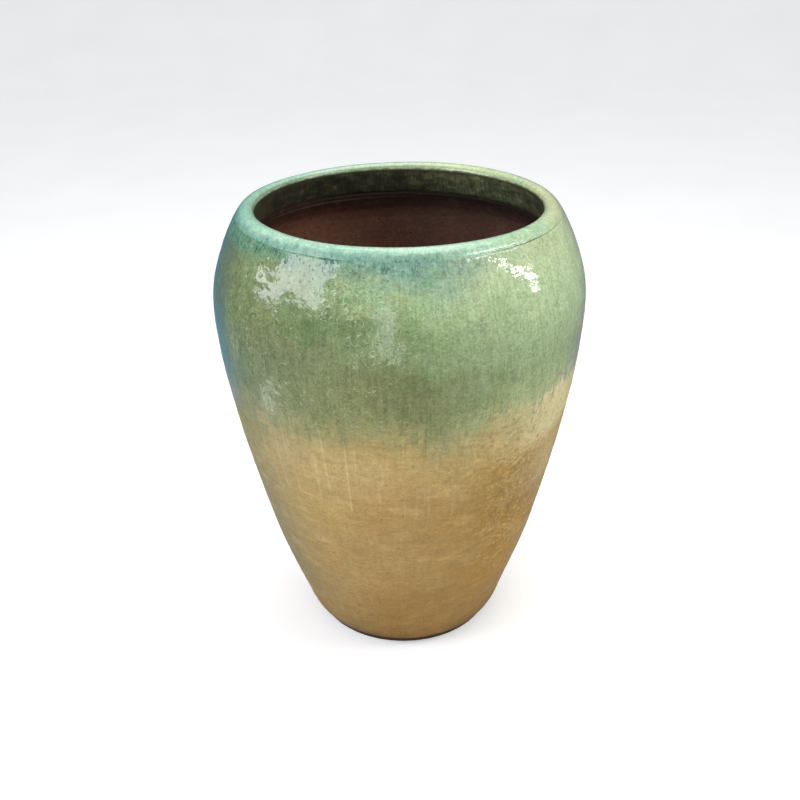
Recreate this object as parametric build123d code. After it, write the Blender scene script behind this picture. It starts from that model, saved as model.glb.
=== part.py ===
from build123d import *
import math
import os

# Glazed terracotta garden planter: a large belly jar with a closed-in shoulder, a thick rolled rim,
# an unglazed inside and foot, and one drain hole through the floor.
# One clay body carries four separate glaze coats; every piece is a full turn about the Z axis.
# Frame: Z up, origin on the axis at the plane the foot stands on. Millimetres.
# Every profile point is (radius, height).

# ---- driving dimensions ----
HEIGHT = 750.0            # foot plane to rim crest
GLAZE_T = 1.5             # thickness of every glaze coat
WALL_T = 20.0             # clay thickness of the body wall, square to the surface
FLOOR_T = 26.0            # clay thickness of the floor at the drain hole

FOOT_R = 148.0            # outer radius of the flat standing ring
FOOT_RECESS_R = 112.0     # radius of the shallow recess inside the standing ring
FOOT_RECESS_D = 5.0
DRAIN_R = 16.0
DRAIN_BREAK = 2.0         # edge break at both mouths of the drain hole

MOUTH_R = 222.3           # clear radius of the mouth, glaze to glaze
MOUTH_Z = 737.5           # height of the narrowest point, where rim and inner coats meet
COLLAR_R = 233.5          # glazed radius at the lower lip of the thickened collar
COLLAR_Z = 694.0          # height of that lip, where the inside glaze stops
CREASE_R = 254.3          # outside crease between the green coat and the rim coat
CREASE_Z = 735.0
CREASE_BREAK = 0.9        # cut-back of both coats at the crease, which leaves a groove
SCARF_LOW_Z = 470.0       # green coat feathers out over the tan coat between these heights
SCARF_HIGH_Z = 520.0
TAN_LOW_Z = 12.0          # lower edge of the tan coat; bare clay below it
TAN_EDGE_RISE = 1.2       # how much higher that edge meets the clay

# ---- measured profiles of the glazed surface ----
# outside, from the foot to the crease
OUTSIDE = [
    (160.0, 8.0), (171.0, 24.0), (184.5, 58.0), (202.5, 110.0),
    (221.6, 168.0), (241.0, 240.0), (259.8, 320.0), (276.4, 400.0),
    (288.6, 470.0), (295.6, 530.0), (298.7, 582.0), (296.9, 622.0),
    (290.0, 654.0), (279.6, 684.0), (267.8, 711.0), (CREASE_R, CREASE_Z),
]
# rim, from the crease over the crest to the inner edge
RIM = [
    (CREASE_R, CREASE_Z), (249.0, 742.2), (242.8, 747.6), (235.0, HEIGHT),
    (228.0, 748.0), (223.8, 743.6), (MOUTH_R, MOUTH_Z),
]
# collar, from the inner edge of the rim down to the lower lip
COLLAR = [(MOUTH_R, MOUTH_Z), (224.0, 724.0), (228.0, 709.0), (COLLAR_R, COLLAR_Z)]

# directions of travel at the profile ends, as (radial, up)
OUTSIDE_START_DIR = (0.62, 0.78)
CREASE_DIR = (-0.56, 0.83)
MOUTH_DIR = (0.02, -1.0)
COLLAR_END_DIR = (0.44, -0.90)

# ---- bare clay inside and foot ----
LIP_MID_OFFSET = (0.6, -4.2)      # both measured from the clay at the foot of the collar
LIP_LOW_OFFSET = (3.0, -7.0)
LIP_START_DIR = (0.10, -1.0)
LIP_END_DIR = (0.80, -0.60)
UNDER_LIP = (246.0, 678.0)        # inside surface just below the lip
SHOULDER_Z = 661.0                # outside height where the wall starts to thicken to the collar
SHOULDER_EXTRA_T = 1.5
# outside heights where the inside surface lies at the plain wall thickness
WALL_HEIGHTS = (625.0, 590.0, 540.0, 480.0, 410.0, 340.0, 270.0, 205.0, 150.0, 105.0)
FLOOR_EDGE = (96.0, 33.5)         # where the curved inside meets the straight floor
FLOOR_CORNER = [(166.0, 72.0), (150.0, 50.5), (124.0, 37.5), FLOOR_EDGE]
FLOOR_END_DIR = (-1.0, -0.075)
FOOT_ROUND_MID = (153.6, 1.5)     # on the curve from standing ring to outside surface

# longest chord-length spacing of the spline points on each stretch
TOE_STEP = 2.0
TAN_STEP = 14.0
GREEN_STEP = 9.0
RIM_STEP = 1.5
COLLAR_STEP = 4.0
INSIDE_STEP = 9.0
SMALL_CURVE_STEP = 1.5            # lip and foot


# ---- profile curves ----
def end_slopes(values, knots, first, last):
    """Slopes at the knots of the clamped cubic spline through one coordinate."""
    count = len(values)
    gaps = [knots[i + 1] - knots[i] for i in range(count - 1)]
    lower, diagonal, upper, right = [0.0] * count, [1.0] * count, [0.0] * count, [0.0] * count
    right[0] = first
    right[-1] = last
    for i in range(1, count - 1):
        lower[i] = gaps[i]
        upper[i] = gaps[i - 1]
        diagonal[i] = 2 * (gaps[i - 1] + gaps[i])
        before = (values[i] - values[i - 1]) / gaps[i - 1]
        after = (values[i + 1] - values[i]) / gaps[i]
        right[i] = 3 * (gaps[i] * before + gaps[i - 1] * after)
    # tridiagonal solve: eliminate downwards, then substitute back
    for i in range(1, count):
        factor = lower[i] / diagonal[i - 1]
        diagonal[i] -= factor * upper[i - 1]
        right[i] -= factor * right[i - 1]
    slopes = [0.0] * count
    slopes[-1] = right[-1] / diagonal[-1]
    for i in range(count - 2, -1, -1):
        slopes[i] = (right[i] - upper[i] * slopes[i + 1]) / diagonal[i]
    return slopes


def chord_knots(points):
    """Running chord length at each point."""
    knots = [0.0]
    for here, there in zip(points, points[1:]):
        knots.append(knots[-1] + math.dist(here, there))
    return knots


class Profile:
    """Clamped cubic spline through points, parametrised by chord length."""

    def __init__(self, points, first, last):
        self.points = points
        self.knots = chord_knots(points)
        self.end = self.knots[-1]
        self.slopes = [
            end_slopes([point[axis] for point in points], self.knots,
                       first[axis] / math.hypot(*first), last[axis] / math.hypot(*last))
            for axis in (0, 1)
        ]

    def _span(self, t):
        """Index and length of the span holding t, and the fraction of the way along it."""
        i = 0
        while i < len(self.points) - 2 and t > self.knots[i + 1]:
            i += 1
        length = self.knots[i + 1] - self.knots[i]
        return i, length, (t - self.knots[i]) / length

    def _blend(self, i, length, weights):
        """Weighted sum of start point, start slope, end point and end slope of span i."""
        start, start_slope, end, end_slope = weights
        return tuple(
            start * self.points[i][axis] + start_slope * self.slopes[axis][i] * length
            + end * self.points[i + 1][axis] + end_slope * self.slopes[axis][i + 1] * length
            for axis in (0, 1)
        )

    def at(self, t):
        i, length, s = self._span(t)
        return self._blend(i, length, (2 * s**3 - 3 * s**2 + 1, s**3 - 2 * s**2 + s,
                                       3 * s**2 - 2 * s**3, s**3 - s**2))

    def direction(self, t):
        """Unit direction of travel."""
        i, length, s = self._span(t)
        along = self._blend(i, length, (6 * s**2 - 6 * s, 3 * s**2 - 4 * s + 1,
                                        6 * s - 6 * s**2, 3 * s**2 - 2 * s))
        size = math.hypot(*along)
        return (along[0] / size, along[1] / size)

    def inward(self, t, depth):
        """Point a distance to the left of travel: into the clay on the glazed profiles."""
        point, along = self.at(t), self.direction(t)
        return (point[0] - along[1] * depth, point[1] + along[0] * depth)

    def reach(self, z, depth=0.0):
        """Parameter where the rising profile, taken at a depth, reaches a height."""
        low, high = 0.0, self.end
        for _ in range(80):
            middle = (low + high) / 2
            if self.inward(middle, depth)[1] < z:
                low = middle
            else:
                high = middle
        return (low + high) / 2


def to_vector(pair):
    return Vector(pair[0], 0, pair[1])


def curve(profile, start, end, depth, step):
    """Spline edge along part of a profile at a depth."""
    count = max(4, int(math.ceil((end - start) / step)) + 1)
    stations = [start + (end - start) * i / (count - 1) for i in range(count)]
    points = [profile.inward(t, depth) for t in stations]
    return Edge.make_spline(
        [to_vector(point) for point in points],
        tangents=[to_vector(profile.direction(t)) for t in (start, end)],
        parameters=chord_knots(points),
        scale=False,
    )


def whole_curve(profile, step, depth=0.0):
    return curve(profile, 0.0, profile.end, depth, step)


def line(start, end):
    return Edge.make_line(to_vector(start), to_vector(end))


def ring(edges):
    """Solid of revolution of a closed outline in the XZ plane."""
    return Solid.revolve(Face(Wire(edges)), 360, Axis.Z)


outside = Profile(OUTSIDE, OUTSIDE_START_DIR, CREASE_DIR)
rim = Profile(RIM, CREASE_DIR, MOUTH_DIR)
collar = Profile(COLLAR, MOUTH_DIR, COLLAR_END_DIR)

# ---- where the coats start and stop, on the glazed face and on the clay ----
tan_low_face = outside.reach(TAN_LOW_Z)
tan_low_clay = outside.reach(TAN_LOW_Z + TAN_EDGE_RISE, GLAZE_T)
scarf_face = outside.reach(SCARF_LOW_Z)
scarf_clay = outside.reach(SCARF_HIGH_Z, GLAZE_T)
groove_bottom = outside.inward(outside.end, CREASE_BREAK)
collar_low_clay = collar.inward(collar.end, GLAZE_T)

# ---- edges shared between neighbouring pieces ----
clay_toe = curve(outside, 0.0, tan_low_clay, GLAZE_T, TOE_STEP)
clay_under_tan = curve(outside, tan_low_clay, scarf_clay, GLAZE_T, TAN_STEP)
clay_under_green = curve(outside, scarf_clay, outside.end, GLAZE_T, GREEN_STEP)
clay_under_rim = whole_curve(rim, RIM_STEP, GLAZE_T)
clay_under_inner = whole_curve(collar, COLLAR_STEP, GLAZE_T)
scarf = line(outside.at(scarf_face), outside.inward(scarf_clay, GLAZE_T))
crease_root = line(groove_bottom, outside.inward(outside.end, GLAZE_T))
mouth_joint = line(rim.at(rim.end), rim.inward(rim.end, GLAZE_T))


# ---- glaze coats ----
def make_tan_glaze():
    return ring([
        curve(outside, tan_low_face, scarf_face, 0.0, TAN_STEP),
        scarf,
        clay_under_tan,
        line(outside.inward(tan_low_clay, GLAZE_T), outside.at(tan_low_face)),
    ])


def make_green_glaze():
    top = outside.end - CREASE_BREAK
    return ring([
        scarf,
        curve(outside, scarf_face, top, 0.0, GREEN_STEP),
        line(outside.at(top), groove_bottom),
        crease_root,
        clay_under_green,
    ])


def make_rim_glaze():
    return ring([
        curve(rim, CREASE_BREAK, rim.end, 0.0, RIM_STEP),
        mouth_joint,
        clay_under_rim,
        crease_root,
        line(groove_bottom, rim.at(CREASE_BREAK)),
    ])


def make_inner_glaze():
    return ring([
        whole_curve(collar, COLLAR_STEP),
        line(collar.at(collar.end), collar_low_clay),
        clay_under_inner,
        mouth_joint,
    ])


# ---- clay body ----
def below_collar(offset):
    return (collar_low_clay[0] + offset[0], collar_low_clay[1] + offset[1])


def wall_point(z, extra=0.0):
    """Inside surface point opposite the outside clay at a height."""
    return outside.inward(outside.reach(z, GLAZE_T), GLAZE_T + WALL_T + extra)


def make_clay_body():
    lip_low = below_collar(LIP_LOW_OFFSET)
    lip = Profile([collar_low_clay, below_collar(LIP_MID_OFFSET), lip_low],
                  LIP_START_DIR, LIP_END_DIR)
    # follows the outside at the wall thickness, and thickens into the collar and the floor
    inside = Profile(
        [lip_low, UNDER_LIP, wall_point(SHOULDER_Z, SHOULDER_EXTRA_T)]
        + [wall_point(z) for z in WALL_HEIGHTS] + FLOOR_CORNER,
        LIP_END_DIR, FLOOR_END_DIR)

    floor_top_z = FOOT_RECESS_D + FLOOR_T
    # floor, drain hole, recess and standing ring, in straight lines
    base = [
        FLOOR_EDGE,
        (DRAIN_R + DRAIN_BREAK, floor_top_z),
        (DRAIN_R, floor_top_z - DRAIN_BREAK),
        (DRAIN_R, FOOT_RECESS_D + DRAIN_BREAK),
        (DRAIN_R + DRAIN_BREAK, FOOT_RECESS_D),
        (FOOT_RECESS_R - 4.0, FOOT_RECESS_D),
        (FOOT_RECESS_R, FOOT_RECESS_D - 1.6),
        (FOOT_RECESS_R + 2.2, 1.2),
        (FOOT_RECESS_R + 5.0, 0.0),
        (FOOT_R, 0.0),
    ]
    foot = Profile([base[-1], FOOT_ROUND_MID, outside.inward(0.0, GLAZE_T)],
                   (1.0, 0.0), outside.direction(0.0))
    return ring([
        clay_toe,
        clay_under_tan,
        clay_under_green,
        clay_under_rim,
        clay_under_inner,
        whole_curve(lip, SMALL_CURVE_STEP),
        whole_curve(inside, INSIDE_STEP),
        *[line(start, end) for start, end in zip(base, base[1:])],
        whole_curve(foot, SMALL_CURVE_STEP),
    ])


# ---- output ----
os.makedirs("parts", exist_ok=True)
for name, make in (
    ("clay_body", make_clay_body),
    ("tan_glaze", make_tan_glaze),
    ("green_glaze", make_green_glaze),
    ("rim_glaze", make_rim_glaze),
    ("inner_glaze", make_inner_glaze),
):
    solid = make()
    solid.label = name
    export_step(solid, "parts/" + name + ".step")
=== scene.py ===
"""A thrown terracotta jar with a drain hole, glazed outside, over the rim and down a short collar.

The jar stands on z = 0 with its axis on Z. Its front faces -Y, towards the camera, and +X is on
the right of the picture. Shapes are in millimetres at a jar height of 750 mm; MM turns them into
metres at the CAD height. Angles round the jar are from +X towards +Y, so -90 is the front.
"""
import math

import bpy
import numpy as np
from mathutils import Matrix, Vector


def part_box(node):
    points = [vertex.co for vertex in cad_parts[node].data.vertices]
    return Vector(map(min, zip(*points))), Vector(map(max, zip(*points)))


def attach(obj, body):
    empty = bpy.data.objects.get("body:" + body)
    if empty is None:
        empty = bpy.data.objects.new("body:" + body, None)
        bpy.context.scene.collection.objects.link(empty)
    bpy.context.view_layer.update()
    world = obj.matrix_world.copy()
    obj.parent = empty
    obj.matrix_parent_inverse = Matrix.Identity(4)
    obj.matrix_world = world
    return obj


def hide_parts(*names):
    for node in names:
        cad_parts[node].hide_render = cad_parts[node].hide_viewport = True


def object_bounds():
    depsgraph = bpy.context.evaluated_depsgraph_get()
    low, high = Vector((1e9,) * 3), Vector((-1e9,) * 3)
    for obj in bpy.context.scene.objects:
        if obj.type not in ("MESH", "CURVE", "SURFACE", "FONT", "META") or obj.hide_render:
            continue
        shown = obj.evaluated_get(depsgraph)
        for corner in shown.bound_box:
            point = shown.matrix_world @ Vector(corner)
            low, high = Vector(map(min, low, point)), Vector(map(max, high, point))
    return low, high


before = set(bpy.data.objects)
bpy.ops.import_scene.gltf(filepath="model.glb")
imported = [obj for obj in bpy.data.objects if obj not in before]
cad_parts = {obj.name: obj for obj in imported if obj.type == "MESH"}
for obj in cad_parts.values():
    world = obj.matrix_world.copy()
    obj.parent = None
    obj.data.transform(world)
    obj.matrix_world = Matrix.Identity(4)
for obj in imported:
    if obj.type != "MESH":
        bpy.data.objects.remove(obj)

# ---- driving dimensions -------------------------------------------------------------------------
cad_low, cad_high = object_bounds()
JAR_H = cad_high.z - cad_low.z
FULL_H = 750.0
MM = JAR_H / FULL_H
MAX_R = min(cad_high.x, cad_high.y, -cad_low.x, -cad_low.y) / MM

green_low, green_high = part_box("green_glaze")
tan_low, tan_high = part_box("tan_glaze")
inner_low, inner_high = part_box("inner_glaze")

GLAZE_T = 1.5
WALL = 20.0
LIP_INSET = 1.35                        # from the inner coat's widest radius to the clay side
CREASE_Z = green_high.z / MM + 0.5      # crease between the green coat and the rim
SCARF_LOW_Z = green_low.z / MM          # the green and tan coats meet between these heights
SCARF_HIGH_Z = tan_high.z / MM
TOE_Z = tan_low.z / MM                  # bottom of the tan coat
LIP_Z = inner_low.z / MM                # bottom of the inner coat
LIP_R = inner_high.x / MM - LIP_INSET
EDGE_Z = inner_high.z / MM - 0.03       # inner edge of the rim

COLUMNS = 600                           # round the jar, the same for every piece
TAN_ROWS, GREEN_ROWS, RIM_ROWS, INNER_ROWS = 153, 150, 56, 44
NOISE_R = 290.0                         # radius at which noise round the jar is measured

PHI = np.arange(COLUMNS) * (2 * math.pi / COLUMNS)
COS, SIN = np.cos(PHI), np.sin(PHI)


# ---- noise --------------------------------------------------------------------------------------
class Noise:
    """Seeded gradient noise over 3-D points."""

    def __init__(self, seed):
        rng = np.random.RandomState(seed)
        self.order = np.concatenate([rng.permutation(256)] * 3)
        slopes = rng.normal(size=(256, 3))
        self.slopes = slopes / np.linalg.norm(slopes, axis=1)[:, None]

    def __call__(self, x, y, z, across, up=1.0, shift=0.0, lift=0.0):
        """Grain sizes are across and up; shift and lift move the sample in x and z."""
        points = np.broadcast_arrays(x / across + shift, y / across, z / up + lift)
        cells = [np.floor(c).astype(int) for c in points]
        fx, fy, fz = (c - cell for c, cell in zip(points, cells))
        ease_x, ease_y, ease_z = (f * f * f * (f * (f * 6 - 15) + 10) for f in (fx, fy, fz))
        xi, yi, zi = (cell & 255 for cell in cells)
        order = self.order
        total = 0.0
        for dx in (0, 1):
            for dy in (0, 1):
                for dz in (0, 1):
                    slope = self.slopes[order[order[order[xi + dx] + yi + dy] + zi + dz]]
                    dot = (slope[..., 0] * (fx - dx) + slope[..., 1] * (fy - dy)
                           + slope[..., 2] * (fz - dz))
                    total = total + (dot * (ease_x if dx else 1 - ease_x)
                                     * (ease_y if dy else 1 - ease_y)
                                     * (ease_z if dz else 1 - ease_z))
        return total * 1.7


low_noise, mid_noise, fine_noise, brush_noise, drip_noise, ring_noise = (
    Noise(seed) for seed in (11, 18, 25, 32, 39, 53))


def smooth(start, stop, x):
    t = np.clip((x - start) / (stop - start), 0, 1)
    return t * t * (3 - 2 * t)


def bell(x, width):
    return np.exp(-(x / width) ** 2)


def turn(at, width):
    """1 at an angle round the jar, falling off to 0 on both sides, in degrees."""
    return np.exp((np.cos(PHI - math.radians(at)) - 1) / math.radians(width) ** 2)


# ---- profile ------------------------------------------------------------------------------------
class Curve:
    """Radius and height by arc length, with the direction along the curve."""

    def __init__(self, arc, points, along):
        self.arc, self.points, self.along, self.length = arc, points, along, arc[-1]

    def at(self, s):
        return (np.interp(s, self.arc, self.points[:, 0]),
                np.interp(s, self.arc, self.points[:, 1]))

    def out(self, s):
        """Unit normal out of the clay, for a curve going up the outside and down the inside."""
        dr = np.interp(s, self.arc, self.along[:, 0])
        dz = np.interp(s, self.arc, self.along[:, 1])
        size = np.hypot(dr, dz)
        return dz / size, -dr / size

    def at_and_out(self, s):
        return *self.at(s), *self.out(s)

    def arc_at(self, z):
        """Arc length at a height, for a curve that rises all the way."""
        return np.interp(z, self.points[:, 1], self.arc)


def spline(points, first, last):
    """Clamped cubic spline; first and last are the directions at its ends."""
    p = np.array(points, float)
    chord = np.hypot(*np.diff(p, axis=0).T)
    knot = np.concatenate([[0], np.cumsum(chord)])
    count = len(p)
    system = np.zeros((count, count))
    rhs = np.zeros((count, 2))
    system[0, 0] = system[-1, -1] = 1
    rhs[0] = np.array(first) / np.hypot(*first)
    rhs[-1] = np.array(last) / np.hypot(*last)
    for i in range(1, count - 1):
        before, after = chord[i - 1], chord[i]
        system[i, i - 1:i + 2] = after, 2 * (before + after), before
        rhs[i] = 3 * (after * (p[i] - p[i - 1]) / before + before * (p[i + 1] - p[i]) / after)
    slope = np.linalg.solve(system, rhs)
    t = np.linspace(0, knot[-1], max(60, int(knot[-1] / 0.2)))
    i = np.clip(np.searchsorted(knot, t, side="right") - 1, 0, count - 2)
    span = chord[i][:, None]
    s = ((t - knot[i]) / chord[i])[:, None]
    a, b, slope_a, slope_b = p[i], p[i + 1], slope[i] * span, slope[i + 1] * span
    places = ((2 * s**3 - 3 * s**2 + 1) * a + (s**3 - 2 * s**2 + s) * slope_a
              + (3 * s**2 - 2 * s**3) * b + (s**3 - s**2) * slope_b)
    along = ((6 * s**2 - 6 * s) * a + (3 * s**2 - 4 * s + 1) * slope_a
             + (6 * s - 6 * s**2) * b + (3 * s**2 - 2 * s) * slope_b)
    along /= np.hypot(along[:, 0], along[:, 1])[:, None]
    arc = np.concatenate([[0], np.cumsum(np.hypot(*np.diff(places, axis=0).T))])
    return Curve(arc, places, along)


# (radius, height) of the glazed surface: up the outside, over the rim, down the collar
CREASE = (254.3, CREASE_Z)
EDGE = (222.3, EDGE_Z)
OUTSIDE = [
    (160.0, 8.0), (171.0, 24.0), (184.5, 58.0), (202.5, 110.0), (221.6, 168.0), (241.0, 240.0),
    (259.8, 320.0), (276.4, 400.0), (288.6, 470.0), (295.6, 530.0), (298.7, 582.0),
    (296.9, 622.0), (290.0, 654.0), (279.6, 684.0), (267.8, 711.0), CREASE]
RIM = [CREASE, (249.0, 742.2), (242.8, 747.6), (235.0, FULL_H), (228.0, 748.0), (223.8, 743.6),
       EDGE]
COLLAR = [EDGE, (224.0, 724.0), (228.0, 709.0), (LIP_R, LIP_Z)]
INTO_CREASE = (-0.56, 0.83)
OVER_EDGE = (0.02, -1.0)
outside = spline(OUTSIDE, (0.62, 0.78), INTO_CREASE)
rim = spline(RIM, INTO_CREASE, OVER_EDGE)
collar = spline(COLLAR, OVER_EDGE, (0.44, -0.90))

# one long skin, and the arc lengths where its parts end
CREASE_S = outside.length
EDGE_S = CREASE_S + rim.length
LIP_S = EDGE_S + collar.length
skin = Curve(
    np.concatenate([outside.arc, CREASE_S + rim.arc[1:], EDGE_S + collar.arc[1:]]),
    np.concatenate([outside.points, rim.points[1:], collar.points[1:]]),
    np.concatenate([outside.along, rim.along[1:], collar.along[1:]]))


def require_cad_fit():
    """Stop if the CAD surface isn't where this skin is."""
    cad = np.array([v.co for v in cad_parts["green_glaze"].data.vertices]) / MM
    cad = cad[(cad[:, 2] > SCARF_HIGH_Z) & (cad[:, 2] < CREASE_Z - 4)]
    skin_r = np.interp(cad[:, 2], outside.points[:, 1], outside.points[:, 0])
    gap = skin_r - np.hypot(cad[:, 0], cad[:, 1])
    if not (gap.min() > -0.35 and gap.max() < 2.6):
        raise SystemExit(f"the skin is off the CAD by {gap.min():.2f} to {gap.max():.2f} mm")


require_cad_fit()


# ---- unevenness, in millimetres out of the surface ----------------------------------------------
def clay_low(r, z):
    """Slow unevenness of the whole wall: out of round, lean and soft dents."""
    x, y = r * COS, r * SIN
    out = 0.75 * np.cos(2 * (PHI - 0.7)) + 0.35 * np.cos(3 * PHI + 1.3 + z / 420.0)
    out = out + 0.95 * low_noise(x, y, z, across=210, up=230)
    out = out + 0.45 * low_noise(x, y, z, across=95, up=80, shift=9)
    return out * smooth(0, 160, z)


def glaze_fine(r, z):
    """Unevenness of the fired glaze, with faint throwing rings."""
    x, y = r * COS, r * SIN
    out = 0.24 * mid_noise(x, y, z, across=31, up=27)
    out = out + 0.14 * mid_noise(x, y, z, across=14, up=12, shift=3)
    out = out + 0.060 * fine_noise(x, y, z, across=7.2, up=6.4)
    ring_pitch = 19.0
    sway = z + 5.0 * ring_noise(x, y, z, across=160, up=160)
    strength = 0.5 + 0.5 * ring_noise(x, y, z, across=120, up=45, shift=5)
    return out + 0.10 * np.sin(2 * math.pi * sway / ring_pitch) * strength


def brush_wrinkles(z):
    """Shallow level wrinkles in the tan coat."""
    x, y = COS * NOISE_R, SIN * NOISE_R
    bent = z + 6 * brush_noise(x, y, z, across=120, up=90)
    return (0.24 * brush_noise(x, y, bent, across=46, up=7.5)
            + 0.12 * brush_noise(x, y, bent, across=24, up=4.2, shift=5, lift=3))


# ---- where the coats end, column by column ------------------------------------------------------
def round_wave(size, shift):
    return drip_noise(COS * NOISE_R, SIN * NOISE_R, 0.0, across=size, shift=shift)


SLOW = round_wave(size=190, shift=1.7) * 12 + round_wave(size=80, shift=4.2) * 6
RUNS = (np.maximum(0, round_wave(size=21, shift=8.8) + 0.15) ** 1.3 * 42
        + np.maximum(0, round_wave(size=9, shift=3.3)) ** 1.2 * 22)
GREEN_EDGE = 503 + SLOW - RUNS + 10 * turn(at=-40, width=14) - 14 * turn(at=-142, width=14)
GREEN_EDGE = np.clip(GREEN_EDGE, SCARF_LOW_Z - 12, SCARF_HIGH_Z + 18)
TOE_EDGE = (TOE_Z + 1.6 * round_wave(size=60, shift=2.2)
            + 0.9 * round_wave(size=17, shift=5.2) + 0.6)
LIP_EDGE = (LIP_S - 1.2 + 1.5 * round_wave(size=70, shift=6.1)
            + 0.9 * round_wave(size=19, shift=7.7))
LIP_EDGE = np.minimum(LIP_EDGE, LIP_S)
CREASE_DEPTH = (0.15 + 0.55 * turn(at=-42, width=11) + 0.30 * turn(at=70, width=50)
                + 0.10 * round_wave(size=40, shift=9.1) + 0.12 * round_wave(size=12, shift=1.1))
CREASE_DEPTH = np.clip(CREASE_DEPTH, 0.05, 0.85)
CREASE_SWAY = 0.9 * round_wave(size=110, shift=3.9) + 0.45 * round_wave(size=30, shift=6.6)

GREEN_S = outside.arc_at(GREEN_EDGE)    # arc lengths of the green coat's and the tan toe's edges
TOE_S = outside.arc_at(TOE_EDGE)


def spaced(count, power=0.0, both_ends=True):
    """0 to 1, even at power 0 and closer towards both ends, or the last one, as it grows."""
    even = np.linspace(0, 1, count)
    eased = 0.5 - 0.5 * np.cos(math.pi * even) if both_ends else np.sin(math.pi / 2 * even)
    return (even + (eased - even) * power)[:, None]


ROW_S = np.concatenate([
    TOE_S + (GREEN_S - TOE_S) * spaced(TAN_ROWS),
    (GREEN_S + (CREASE_S - GREEN_S) * spaced(GREEN_ROWS, power=0.55, both_ends=False))[1:],
    (CREASE_S + (EDGE_S - CREASE_S) * spaced(RIM_ROWS, power=0.6) + 0 * PHI)[1:],
    (EDGE_S + (LIP_EDGE - EDGE_S) * spaced(INNER_ROWS, power=0.35))[1:]])
COAT_ENDS = np.cumsum([0, TAN_ROWS - 1, GREEN_ROWS - 1, RIM_ROWS - 1, INNER_ROWS - 1])


def low_shift():
    """Offset that keeps the slow unevenness inside the CAD box at the belly and the crest."""
    r, z = skin.at(ROW_S)
    low = clay_low(r, z)
    belly = (z > 540) & (z < 640)
    crest = z > 748.5
    return max(low[belly].max(), low[crest].max()) - 0.05


LOW_SHIFT = low_shift()


def uneven(r, z):
    return clay_low(r, z) - LOW_SHIFT


# ---- pits and pimples in the glaze --------------------------------------------------------------
def make_spots():
    """(angle, height, size, relief) of each spot."""
    rng = np.random.RandomState(5)
    spots = []
    for _ in range(520):
        sign = 1 if rng.rand() < 0.55 else -1
        z = 40 + 700 * rng.rand() ** 0.8
        spots.append((rng.rand() * 2 * math.pi, z, rng.uniform(2.2, 4.8),
                      rng.uniform(0.12, 0.42) * sign))
    return spots


def spot_relief(x, y, z):
    out = np.zeros_like(x)
    for phi, spot_z, size, height in make_spots():
        r = float(outside.at(outside.arc_at(min(spot_z, CREASE_Z - 1)))[0])
        near = np.abs(z - spot_z) < 3 * size
        dist2 = ((x[near] - r * math.cos(phi)) ** 2 + (y[near] - r * math.sin(phi)) ** 2
                 + (z[near] - spot_z) ** 2)
        out[near] += height * np.exp(-dist2 / (0.5 * size * size))
    return out


# ---- the glazed skin ----------------------------------------------------------------------------
def shape_skin():
    """Points of the whole glazed skin and the values its materials read."""
    r, z, out_r, out_z = skin.at_and_out(ROW_S)
    fine = glaze_fine(r, z)
    wrinkle = brush_wrinkles(z)
    on_outside = ROW_S < CREASE_S - 0.01
    on_collar = ROW_S > EDGE_S
    above = smooth(-5, 7, z - GREEN_EDGE)
    bead = bell(z - GREEN_EDGE - 4, 6.5)
    coat = np.where(ROW_S < CREASE_S + 30, 0.30 * above + 0.16 * bead, 0.30)
    # rolled edges: the tan toe, the crease and the lip
    toe = np.where(on_outside, -1.15 * bell(ROW_S - TOE_S, 1.5), 0)
    past_crease = ROW_S - CREASE_S - CREASE_SWAY
    cut = (-CREASE_DEPTH * bell(past_crease, 1.15)
           + 0.42 * CREASE_DEPTH * bell(past_crease - 4.2, 2.6))
    lip = (-1.15 * bell(ROW_S - LIP_EDGE, 1.3)
           + 0.10 * bell(ROW_S - LIP_EDGE + 4.0, 2.5)) * on_collar
    spots = spot_relief(r * COS, r * SIN, z) * on_outside
    out = (uneven(r, z) + np.where(z > 742, 0.65, 1.0) * fine
           + (1 - 0.75 * above) * wrinkle * on_outside + coat - 0.45 + toe + cut + lip + spots)
    r, high_enough = r + out_r * out, z > 400
    r = np.where(high_enough & (r > MAX_R), MAX_R, r)
    z = np.minimum(z + out_z * out, FULL_H)
    relief = fine / 0.30 + wrinkle / 0.45 * (1 - above)
    return np.stack([r * COS, r * SIN, z], -1), {"relief": relief, "spot": spots, "cut": cut}


def grid_normals(points):
    """Unit normals of a grid of points whose columns go round the jar."""
    up = np.gradient(points, axis=0)
    around = np.roll(points, -1, axis=1) - np.roll(points, 1, axis=1)
    normals = np.cross(around, up)
    return normals / (np.linalg.norm(normals, axis=2)[..., None] + 1e-12)


def make_mesh(name, rings, normals, attributes):
    """Closed mesh from a stack of rings, the last joined to the first."""
    count = len(rings)
    verts = (rings.reshape(-1, 3) * MM).astype(np.float32)
    row, column = np.meshgrid(np.arange(count), np.arange(COLUMNS), indexing="ij")
    here, above = row * COLUMNS, (row + 1) % count * COLUMNS
    beside = (column + 1) % COLUMNS
    quads = np.stack([here + column, here + beside, above + beside, above + column], -1)
    quads = quads.reshape(-1, 4)
    mesh = bpy.data.meshes.new(name)
    mesh.vertices.add(len(verts))
    mesh.vertices.foreach_set("co", verts.ravel())
    mesh.loops.add(quads.size)
    mesh.loops.foreach_set("vertex_index", quads.ravel().astype(np.int32))
    mesh.polygons.add(len(quads))
    mesh.polygons.foreach_set("loop_start", (np.arange(len(quads)) * 4).astype(np.int32))
    mesh.polygons.foreach_set("use_smooth", np.ones(len(quads), bool))
    mesh.update(calc_edges=True)
    for key, values in attributes.items():
        attribute = mesh.attributes.new(key, "FLOAT", "POINT")
        attribute.data.foreach_set("value", np.asarray(values, np.float32).ravel())
    mesh.validate()
    if normals is not None:
        mesh.normals_split_custom_set_from_vertices([tuple(v) for v in normals.reshape(-1, 3)])
    return link(name, mesh)


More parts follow.
